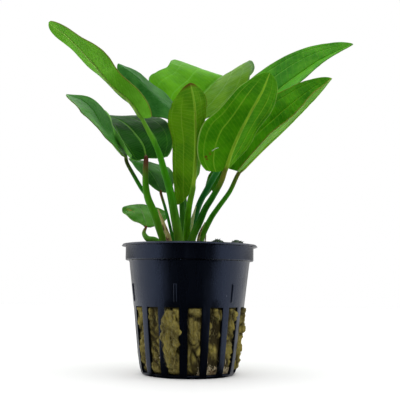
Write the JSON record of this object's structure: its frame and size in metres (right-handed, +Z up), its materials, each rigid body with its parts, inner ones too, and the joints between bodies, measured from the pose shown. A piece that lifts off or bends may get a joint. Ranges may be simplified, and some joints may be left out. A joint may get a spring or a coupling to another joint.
{
  "type": "potted echinodorus",
  "caption": "Young aquatic rosette plant with broad stalked leaves, rooted in mineral wool inside a slotted black plastic pot.",
  "frame": {"origin": "middle of the underside of the pot's floor, where the pot rests", "axes": "+Z up along the pot's axis, -Y towards the side seen in the picture, +X to the right in it"},
  "size_m": [0.1274, 0.0929, 0.148],
  "materials": {
    "pot": "black satin plastic",
    "wool": "olive-brown matted mineral fibre",
    "root": "pale root fibre",
    "crown": "dark plant stock",
    "leaf": "smooth semi-gloss leaf",
    "sheath": "dry papery skin",
    "moss": "dark moss"
  },
  "bodies": {
    "root": {"net_pot": "pot", "rock_wool": "wool", "root_mat": "root", "crown": "crown", "leaf_long_left": "leaf", "leaf_back_left": "leaf", "leaf_outer_left": "leaf", "leaf_broad_left": "leaf", "leaf_small_left": "leaf", "leaf_front_upright": "leaf", "leaf_back_large": "leaf", "leaf_front_right": "leaf", "leaf_outer_right": "leaf", "leaf_long_right": "leaf", "leaf_low_left": "leaf", "leaf_small_right": "leaf", "sheath_left": "sheath", "sheath_middle": "sheath", "sheath_right": "sheath", "dry_stub": "sheath", "moss_near_crown": "moss", "moss_by_rim": "moss"}
  },
  "joints": []
}
